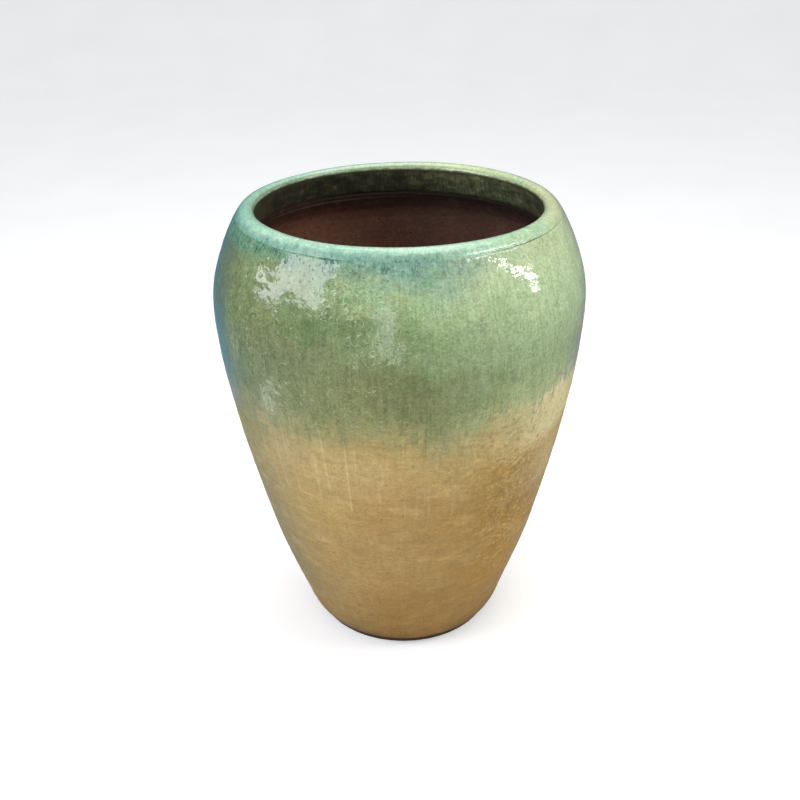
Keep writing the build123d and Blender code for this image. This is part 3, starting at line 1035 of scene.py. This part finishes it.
def crinkles(m):
    """Short curling ridges on the thick green, a painted highlight on top and painted shade
    beneath.
    """
    def curls(point):
        curl = m.noise(point, size=9, detail=1, rough=0.5, distortion=0.6)
        return abs(curl - 0.5).step(0.052, 0.012)

    ridge_highlight = curls(m.point)
    shade = curls(m.stretch(shift=(0, 0, 1.9)))
    some = m.blotch(across=24, up=22, shift=(12, 3, 7), detail=4).step(0.02, 0.12)
    upper = m.spot(at=-103, width=8, rise=(645, 662), fall=(700, 712))
    left = m.spot(at=-136, width=8, rise=(540, 560), fall=(640, 668))
    front = m.spot(at=-94, width=6, rise=(596, 606), fall=(640, 655))
    scattered = (some * m.side.step(0.5, -0.1, low=0.34, high=0.75)
                 * m.side.step(-0.86, -0.66, low=0.35, high=1.0))
    here = m.math("MAXIMUM", scattered,
                  m.math("MAXIMUM", upper * 0.9, m.math("MAXIMUM", left * 0.30, front)))
    here = here * (m.green * m.noise(m.point, size=7, detail=2).step(0.44, 0.56))
    # painted shade just below each curl and a painted highlight along it, as if lit from above
    m.lay((74, 92, 58), shade * here, 0.40)
    m.lay((206, 218, 176), ridge_highlight * here, 0.46)
    m.curly = ridge_highlight * here
    m.lay(m.tinted((0.985, 0.97, 0.89)), m.coat(tan=1.0, green=0.0))


def specks_and_lumps(m):
    """Specks, crust lumps with painted highlights and shade, and a painted shade line at the toe.
    """
    m.fine_grain = m.noise(m.point, size=2.2, rough=0.65)
    (dark_pick, dark), (pale_pick, pale) = m.specks(amount=1.0, pale=0.32)
    m.dark_dot = dark_pick * dark
    m.pale_dot = pale_pick * pale
    m.lumpy = m.math(
        "MAXIMUM",
        m.spot(at=-52, width=22, rise=(372, 415), fall=(492, 522), height=m.run_z),
        m.spot(at=-44, width=13, rise=(110, 180), fall=(400, 450))) * 1.0
    m.lump = m.noise(m.stretch(across=9, up=7, shift=(2, 5, 1)), detail=4, rough=0.6)
    # painted highlight on the raised lumps and painted shade in the hollows between them
    m.lay((230, 206, 142), m.lumpy * m.lump.step(0.54, 0.68), 0.36)
    m.lay((118, 90, 44), m.lumpy * m.lump.step(0.46, 0.34), 0.42)
    # painted shade: a dark line along the tan coat's bottom edge, next to the ground
    toe = (m.attribute("toe") + (m.fine_grain - 0.5) * 5).step(7, 0)
    m.lay((70, 52, 28), toe, 0.8)


def glaze_bumps(m):
    """Normals of the base and of the clear coat, from heights in millimetres."""
    wavy = (m.z + m.turn(at=-62, width=22) * 60).step(695, 655)
    waves = (m.noise(m.stretch(shift=(4, 9, 2)), size=15, detail=2)
             * m.coat(tan=0.5, green=wavy.times_plus(0.30, 0.30)))
    ripples = (m.noise(m.point, size=6.5, rough=0.55)
               * m.coat(tan=m.crust.times_plus(0.9, 0.40), green=wavy.times_plus(0.42, 0.14)))
    crease_point = m.vector(m.cx * (NOISE_R / 15), m.cy * (NOISE_R / 15), m.z * (1 / 8))
    crease = m.noise(crease_point, detail=2, rough=0.55, distortion=0.5)
    creases = (abs(crease - 0.5).step(0.040, 0.006)
               * m.blotch(across=26, up=20, shift=(3, 13, 5), detail=3).step(-0.02, 0.10))
    wrinkles = (m.level * m.coat(tan=1.15, green=0.04)
                + (m.level_fine * m.coat(tan=0.70, green=0.02)
                   + creases * m.coat(tan=0.34, green=0.0)))
    base = ripples + m.fine_grain * 0.05 + (wrinkles + m.comb * 0.05)
    base = base + (m.lump * m.lumpy * 2.0 + m.curly * 0.22)
    base = base + (m.dark_dot * -0.25
                   + (m.pale_dot * 0.22 + (m.crumbs * 0.45 + m.fleck * -0.2)))
    base = base + (waves * 0.35 + m.small_grain * 0.10)
    coat = waves + (ripples * 0.9
                    + (wrinkles * 0.8 + (m.dark_dot * -0.45 + m.fleck * -0.35)))
    coat = coat + (m.curly * 0.30 + m.lump * m.lumpy * 0.8)
    return m.bump(base), m.bump(coat)


def outside_glaze(name):
    """Pale celadon and olive above, thinning in streaks to a satin honey tan at the foot."""
    m = OutsideGlaze(name)
    for paint in (thick_and_thin, left_pools, tan_breaks, drips_and_clouds, rim_bleed, combing,
                  crinkles, specks_and_lumps):
        paint(m)
    patches = m.noise(m.point, size=18, rough=0.6)
    dull_top = m.z.step(730, 736) * m.turn(at=-116, width=24)
    coat = (m.coat(tan=patches.step(0.35, 0.75, low=0.03, high=0.22), green=1.0)
            * dull_top.step(0.0, 0.8, low=1.0, high=0.25))
    normal, coat_normal = glaze_bumps(m)
    return m.finish(
        rough=m.coat(tan=patches.step(0.3, 0.7, low=0.46, high=0.60), green=0.30),
        normal=normal, coat=coat, coat_normal=coat_normal,
        coat_rough=m.coat(tan=0.18, green=patches.step(0.3, 0.8, low=0.025, high=0.07)),
        specular=m.coat(tan=0.14, green=0.05))


# ---- rim, collar and clay materials -------------------------------------------------------------
# (side from -1 left to 1 right, display colour)
RIM_SIDES = [(-1.0, (156, 210, 180)), (-0.6, (166, 212, 184)), (-0.2, (160, 208, 180)),
             (0.26, (166, 208, 180)), (0.50, (168, 208, 172)), (0.78, (178, 208, 168)),
             (1.0, (206, 220, 168))]
RIM_BACK = [(-1.0, (150, 206, 170)), (0.0, (170, 196, 150)), (0.5, (206, 222, 160)),
            (1.0, (222, 236, 172))]
# (noise, display colour)
COLLAR_OLIVE = [(0.30, (30, 31, 22)), (0.42, (48, 49, 36)), (0.52, (58, 58, 44)),
                (0.62, (76, 76, 54)), (0.70, (98, 96, 66))]
COLLAR_RIGHT = [(0.30, (52, 62, 40)), (0.46, (84, 96, 66)), (0.58, (104, 116, 82)),
                (0.70, (134, 140, 100))]
CLAY = [(0.28, (98, 68, 56)), (0.44, (108, 77, 63)), (0.56, (116, 84, 68)),
        (0.72, (128, 94, 76))]


def rim_material():
    m = Material("rim_turquoise")
    # 0 at the crease, 1 at the inner edge
    across = (m.attribute("arc") - CREASE_S) / (EDGE_S - CREASE_S)
    side = m.cx + m.blotch(across=30, up=30, detail=4) * 0.30
    m.color = m.ramp(side, RIM_SIDES)
    streak = ((m.blotch(across=16, up=9, shift=(3, 8, 2), detail=4)
               + (across - 0.5) * 0.10).step(-0.02, 0.10)
              * m.cx.window(rise=(0.20, 0.40), fall=(0.86, 0.97)))
    m.lay((136, 198, 164), streak, 0.72)
    m.lay(m.ramp(side, RIM_BACK), m.cy.step(0.30, 0.85), 0.60)
    pale = m.blotch(across=13, up=13, shift=(4, 1, 0), detail=4).step(0.02, 0.16)
    m.lay((204, 232, 202), pale, 0.35)
    deep = (m.blotch(across=17, up=15, shift=(9, 5, 0), detail=4).step(0.04, 0.16)
            * side.step(0.5, 0.2))
    m.lay((120, 184, 160), deep, 0.40)
    # darker runs where the glaze leaves the crest for the crease
    run = m.round_noise(around=3.2, up=26, shift=2.2, detail=4, rough=0.7)
    left_front = side.step(0.40, 0.16) * m.cy.step(0.2, -0.2)
    ragged = across + ((run - 0.5) * 0.55
                       + m.blotch(across=14, up=10, shift=(2, 5, 1), detail=3) * 0.35)
    m.lay((98, 146, 128), ragged.step(0.34, 0.12) * left_front, 0.66)
    drop = (ragged.step(0.14, 0.02)
            * m.round_noise(around=5, up=9, shift=3.7, rough=0.6).step(0.50, 0.60))
    m.lay((52, 88, 78), drop * left_front, 0.60)
    # the glaze breaks to a thin brown line at the inner edge
    inner = (across + (m.noise(m.point, size=12) - 0.5) * 0.16).step(0.88, 0.99)
    m.lay((82, 82, 48), inner, 0.85)
    brown = ((across + (run - 0.5) * 0.12).window(rise=(0.76, 0.84), fall=(0.86, 0.94))
             * m.math("MAXIMUM", m.turn(at=-165, width=40), m.turn(at=150, width=60)))
    m.lay((128, 96, 56), brown, 0.55)
    # painted shade: darker olive where the crease is cut deepest
    m.lay((84, 88, 54), m.attribute("cut").step(-0.10, -0.55), 0.9)
    m.brighten(1.0 + (m.grain(size=2.8) * 0.20
                      + (m.grain(size=5.2, shift=(3, 1, 0), detail=3) * 0.20
                         + m.grain(size=11, shift=(0, 0, 6), detail=4) * 0.13)))
    m.color = m.tinted((0.94, 0.86, 0.85))
    (pick, dot), _ = m.specks(amount=0.8, pale=0.2)
    height = (m.noise(m.point, size=6, rough=0.55) * 0.36
              + (pick * dot * -0.2 + m.noise(m.point, size=2.2, rough=0.65) * 0.04))
    dull = across.step(0.24, 0.08) * m.turn(at=-116, width=24)
    return m.finish(rough=0.28, normal=m.bump(height), specular=0.2,
                    coat=dull.step(0.0, 0.8, low=1.0, high=0.15), coat_rough=0.045,
                    coat_normal=m.bump(height * 0.8))


def inner_material():
    m = Material("collar_olive")
    # 0 at the rim's inner edge, 1 at the lip
    down = (m.attribute("arc") - EDGE_S) / (LIP_S - EDGE_S)
    mottle = m.noise(m.stretch(across=24, up=11), detail=6, rough=0.66)
    m.color = m.ramp(mottle, COLLAR_OLIVE)
    side = m.cx + m.blotch(across=40, up=30, detail=4) * 0.6
    right = side.step(0.05, 0.60) * side.step(0.98, 0.75, low=0.55, high=1.0)
    m.lay(m.ramp(mottle, COLLAR_RIGHT), right, 0.70)
    m.lay((84, 90, 64), side.step(-0.62, -0.95) * m.cy.step(0.5, 0.1), 0.6)
    ochre = (m.spot(at=68, width=14, rise=(0.05, 0.2), fall=(0.42, 0.62), height=down)
             * m.blotch(across=18, up=12, shift=(3, 0, 0)).step(-0.05, 0.12))
    m.lay((132, 122, 78), ochre, 0.55)
    run = m.round_noise(around=3.6, up=34, shift=5.5, detail=4, rough=0.65)
    m.lay((34, 32, 22), run.step(0.48, 0.62), 0.50)
    m.lay((46, 54, 26), (down + (run - 0.5) * 0.10).step(0.13, 0.02), 0.60)
    # painted shade: darker towards the collar's lower edge, which hangs over the inside wall
    m.lay((26, 24, 18), (down + (run - 0.5) * 0.40).step(0.78, 0.98), 0.42)
    m.brighten(1.0 + (m.grain(size=2.8) * 0.34
                      + m.grain(size=6, shift=(2, 0, 1), detail=3) * 0.30))
    m.specks(amount=0.6, pale=0.25)
    height = (m.noise(m.point, size=5, rough=0.55) * 0.26
              + m.noise(m.point, size=2.4, rough=0.6) * 0.05)
    return m.finish(rough=0.45, normal=m.bump(height), coat=0.50, coat_rough=0.14,
                    specular=0.3)


def clay_material():
    m = Material("bare_terracotta")
    zone = m.attribute("zone")
    mottle = m.noise(m.point, size=55, detail=4, rough=0.55)
    m.color = m.ramp(mottle, CLAY)
    m.lay((84, 66, 55), m.z.step(560, 700), 0.55)
    # painted light: the inside wall is lighter on the left, where light from the right falls on it
    m.lay((150, 102, 79), m.cx.step(0.25, -0.75) * m.z.step(420, 560), 0.70)
    # painted shade: a near-black band on the inside wall just under the collar's lip
    ragged = m.z + m.blotch(across=14, up=14, shift=(1, 1, 1)) * 26
    shade_under_lip = m.r.step(205, 215) * (zone.step(4.5, 4.4) * ragged.step(654, 690))
    m.lay((30, 26, 20), shade_under_lip, 0.84)
    line_point = m.vector(m.cx * 3.2, m.cy * 3.2, m.attribute("arc") * (1 / 2.8))
    line = m.noise(line_point, rough=0.65)
    m.brighten(1.0 + ((line - 0.5) * 0.42
                      + m.grain(size=7, shift=(0, 2, 0), detail=3) * 0.24))
    m.brighten(1.0 + m.attribute("relief") * 0.035)
    # painted shade: darker towards the right of the inside wall
    m.brighten(m.cx.step(0.1, 0.8, low=1.0, high=0.86))
    salts = m.noise(m.stretch(across=34, up=22, shift=(5, 1, 2)), detail=5, rough=0.65)
    m.lay((150, 122, 104), salts.step(0.56, 0.76), 0.16)
    soot = m.noise(m.stretch(across=48, up=30, shift=(9, 4, 7)), detail=5, rough=0.62)
    m.lay((74, 54, 46), soot.step(0.54, 0.74), 0.35)
    distance, chance, _ = m.cells(m.point, size=12)
    grit = chance.step(0.68, 0.70) * distance.step(0.20, 0.08)
    m.lay((40, 28, 24), grit, 0.8)
    distance, _, chance = m.cells(m.stretch(shift=(3, 50, 9)), size=15)
    chip = chance.step(0.90, 0.92) * distance.step(0.12, 0.05)
    m.lay((196, 172, 146), chip, 0.6)
    # the underside and heel are browner, and the heel is darker above the ground: partly the bare
    # clay's own colour, partly painted shade near the ground
    m.lay((132, 88, 62), zone.step(4.5, 4.6), 0.35)
    m.lay((66, 48, 32), zone.step(6.5, 6.6) * m.z.step(0.0, 5.0), 0.85)
    grain = m.noise(m.point, size=1.8, rough=0.65)
    m.brighten(1.0 + (grain - 0.5) * 0.60)
    height = line * 0.16 + (grain * 0.10 + (grit * -0.30 + chip * 0.20))
    return m.finish(rough=mottle.step(0.3, 0.7, low=0.86, high=0.96), normal=m.bump(height),
                    coat=0.0, coat_rough=0.3, specular=0.2)


tan_coat.data.materials.append(outside_glaze("tan_outside"))
green_coat.data.materials.append(outside_glaze("green_outside"))
rim_coat.data.materials.append(rim_material())
inner_coat.data.materials.append(inner_material())
clay_jar.data.materials.append(clay_material())

# ---- stage: a pale floor that sweeps up behind, in metres ---------------------------------------
FLOOR_GLOW = 0.33             # brightens the floor for the camera without lighting the jar


def floor_material():
    """Pale to the eye, darker and bluer in reflections on the glaze."""
    m = Nodes(bpy.data.materials.new("pale_floor"))
    local = m.build("ShaderNodeTexCoord", {}, output="Object")
    mottle = m.noise(m.stretch(point=local), size=1 / 3)
    pale = m.ramp(mottle, [(0.3, (232, 232, 230)), (0.7, (237, 237, 236))])
    path = m.node("ShaderNodeLightPath")
    glossy = Value(m, path.outputs["Is Glossy Ray"])
    camera = Value(m, path.outputs["Is Camera Ray"])
    x, y, _ = m.xyz(local)
    reflected = m.mix(x.step(0.0, -1.2), (128, 136, 142), (96, 142, 164))
    reflected = m.mix(m.root(x, y).step(0.72, 0.64), reflected, (196, 199, 206))
    diffuse = m.build("ShaderNodeBsdfDiffuse", {"Color": m.mix(glossy, pale, reflected)})
    # a pale disc on the left, seen only as a small soft reflection low on the glaze
    disc = m.root(x + 0.93, y + 0.15).step(0.15, 0.10) * glossy * 2.4
    glow = m.build("ShaderNodeEmission", {
        "Color": (1.0, 1.0, 0.995, 1.0), "Strength": camera.times_plus(FLOOR_GLOW, disc)})
    both = m.build("ShaderNodeAddShader", {0: diffuse, 1: glow})
    m.put(m.node("ShaderNodeOutputMaterial").inputs[0], both)
    return m.owner


def build_floor():
    half_width, front, back, bend, top, bend_steps = 9.0, -7.0, 5.0, 3.0, 6.0, 16
    profile = [(front, 0.0), (back, 0.0)]
    for i in range(1, bend_steps + 1):
        angle = math.pi / 2 * i / bend_steps
        profile.append((back + bend * math.sin(angle), bend - bend * math.cos(angle)))
    profile.append((back + bend, top))
    verts = [(x, y, z) for y, z in profile for x in (-half_width, half_width)]
    faces = [(i, i + 1, i + 3, i + 2) for i in range(0, 2 * len(profile) - 2, 2)]
    mesh = bpy.data.meshes.new("floor")
    mesh.from_pydata(verts, [], faces)
    mesh.polygons.foreach_set("use_smooth", [True] * len(faces))
    floor = link("floor", mesh)
    mesh.materials.append(floor_material())
    return floor


build_floor()


# ---- light --------------------------------------------------------------------------------------
def build_world():
    """Grey below and near white above, dimmer in reflections."""
    world = bpy.data.worlds.new("studio")
    bpy.context.scene.world = world
    m = Nodes(world)
    height = m.xyz(m.build("ShaderNodeTexCoord", {}, output="Generated"))[2]
    sky = m.linear_ramp(height, [(0.0, (0.30, 0.32, 0.35, 1)), (0.25, (0.42, 0.45, 0.50, 1)),
                                 (0.9, (0.95, 0.97, 1.0, 1))])
    glossy = m.build("ShaderNodeLightPath", {}, output="Is Glossy Ray")
    background = m.build("ShaderNodeBackground", {0: sky, 1: glossy.times_plus(-0.40, 0.80)})
    m.put(m.node("ShaderNodeOutputWorld").inputs[0], background)


def area(name, place, target, wide, tall, radiance, color, along=None):
    """Rectangular light aimed at target; its wide side is level unless along is given."""
    data = bpy.data.lights.new(name, "AREA")
    data.shape = "RECTANGLE"
    data.size, data.size_y = wide, tall
    data.energy = radiance * math.pi * wide * tall
    data.color = color
    ob = link(name, data)
    back = (Vector(place) - Vector(target)).normalized()
    side = along or Vector((0, 0, 1)).cross(back)
    side = (side - back * side.dot(back)).normalized()
    axes = Matrix((side, back.cross(side), back)).transposed().to_4x4()
    ob.matrix_world = Matrix.Translation(Vector(place)) @ axes
    ob.visible_camera = False


def seen_from(point, azimuth, elevation, distance=1.8):
    """A place seen from a point; azimuth is 0 towards the front and 90 to the right."""
    a, e = math.radians(azimuth), math.radians(elevation)
    return Vector(point) + distance * Vector(
        (math.sin(a) * math.cos(e), -math.cos(a) * math.cos(e), math.sin(e)))


def strip(name, start, end, tall, radiance, stretch=1.0):
    """A long light between two places, aimed at the right shoulder."""
    area(name, (start + end) / 2, RIGHT_SHOULDER, wide=(end - start).length * stretch,
         tall=tall, radiance=radiance, color=STRIP_WHITE, along=end - start)


build_world()

# aiming points on the jar, placed for a 0.75 m jar
TO_JAR = JAR_H / 0.75
LEFT_SHOULDER = Vector((-0.15, -0.22, 0.705)) * TO_JAR
RIGHT_SHOULDER = Vector((0.15, -0.21, 0.71)) * TO_JAR
FRONT = Vector((-0.02, -0.29, 0.62)) * TO_JAR
WINDOW_BLUE = (0.92, 0.94, 1.04)
STRIP_WHITE = (1.0, 0.99, 0.96)

area("window_left", seen_from(LEFT_SHOULDER, azimuth=-64, elevation=27.5), LEFT_SHOULDER,
     wide=1.14, tall=0.94, radiance=6.4, color=WINDOW_BLUE)
area("window_left_low", seen_from(LEFT_SHOULDER, azimuth=-87, elevation=9.5), LEFT_SHOULDER,
     wide=0.70, tall=0.20, radiance=6.8, color=WINDOW_BLUE)
strip_top = seen_from(RIGHT_SHOULDER, azimuth=69, elevation=31.5)
strip_bend = seen_from(RIGHT_SHOULDER, azimuth=80, elevation=17.5)
strip_foot = seen_from(RIGHT_SHOULDER, azimuth=93, elevation=7.5)
strip("strip_right", strip_top, strip_bend, tall=0.045, radiance=26.0)
strip("strip_right_low", strip_bend, strip_foot, tall=0.075, radiance=26.0, stretch=1.02)
strip("strip_rim", seen_from(RIGHT_SHOULDER, azimuth=54, elevation=43),
      seen_from(RIGHT_SHOULDER, azimuth=97, elevation=30.5), tall=0.19, radiance=13.0)
area("top", (0.35, 0.30, 2.7), (0, 0, 0.5), wide=2.2, tall=1.6, radiance=2.5,
     color=(1.0, 0.99, 0.97))
area("front_low", seen_from(FRONT, azimuth=-8, elevation=4, distance=1.4), FRONT,
     wide=0.27, tall=0.98, radiance=3.7, color=(0.95, 0.98, 1.0))

# ---- camera -------------------------------------------------------------------------------------
PITCH, ROLL = math.radians(27.84), math.radians(0.83)
PAN, TILT = math.radians(0.09), math.radians(-0.68)
DISTANCE = 2.296              # from the jar's middle, in jar heights


def rotated(a, b, angle):
    """Two axes turned in their plane, a towards b."""
    c, s = math.cos(angle), math.sin(angle)
    return c * a + s * b, -s * a + c * b


def build_camera():
    c, s = math.cos(PITCH), math.sin(PITCH)
    eye = Vector((0, -DISTANCE * c, 0.5 + DISTANCE * s)) * JAR_H
    right, up, ahead = Vector((1, 0, 0)), Vector((0, s, c)), Vector((0, c, -s))
    right, ahead = rotated(right, ahead, PAN)
    up, ahead = rotated(up, ahead, TILT)
    right, up = rotated(right, up, -ROLL)
    data = bpy.data.cameras.new("camera")
    data.sensor_width = 36.0
    data.lens = 45.0
    data.clip_end = 100.0
    camera = link("camera", data)
    axes = Matrix((right, up, -ahead)).transposed().to_4x4()
    camera.matrix_world = Matrix.Translation(eye) @ axes
    bpy.context.scene.camera = camera


build_camera()

view_settings = bpy.context.scene.view_settings
view_settings.view_transform = "Standard"
view_settings.look = "None"
view_settings.exposure = 0.0
view_settings.gamma = 1.0
